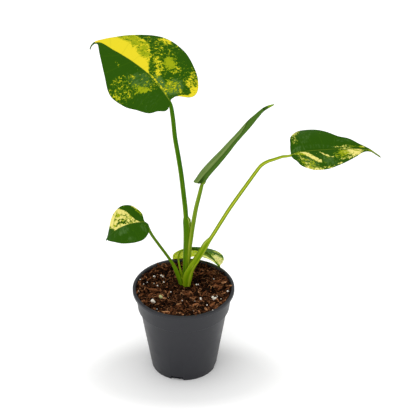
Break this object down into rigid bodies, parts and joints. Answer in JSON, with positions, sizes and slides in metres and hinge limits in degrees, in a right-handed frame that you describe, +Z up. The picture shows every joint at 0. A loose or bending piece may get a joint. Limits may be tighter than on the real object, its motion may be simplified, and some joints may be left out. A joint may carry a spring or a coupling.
{
  "type": "potted variegated monstera",
  "caption": "Young monstera with variegated heart-shaped leaves on curved petioles and a leaf still rolled, in a round tapered nursery pot.",
  "frame": {"origin": "under the middle of the plant's box, on the surface that the pot stands on", "axes": "+Z up along the pot's axis, +X to the right and -Y towards the viewer in the picture"},
  "size_m": [0.3312, 0.1788, 0.3817],
  "materials": {
    "pot_plastic": "dark grey moulded polypropylene with a soft satin",
    "potting_soil": "moist coir and bark with crumbs of perlite, matt",
    "green_stem": "living stem, green, soft satin",
    "lime_stem": "living stem, lime green, soft satin",
    "leaf": "living leaf, dark green marbled with yellow and lime, satin",
    "young_leaf": "living leaf still rolled, grey-green, satin"
  },
  "bodies": {
    "root": {"pot": "pot_plastic", "soil": "potting_soil", "stem": "green_stem", "petiole_top": "green_stem", "petiole_rolled": "lime_stem", "petiole_right": "lime_stem", "petiole_left": "green_stem", "petiole_back": "lime_stem", "blade_top": "leaf", "blade_rolled": "young_leaf", "blade_right": "leaf", "blade_left": "leaf", "blade_back": "leaf"}
  },
  "joints": []
}
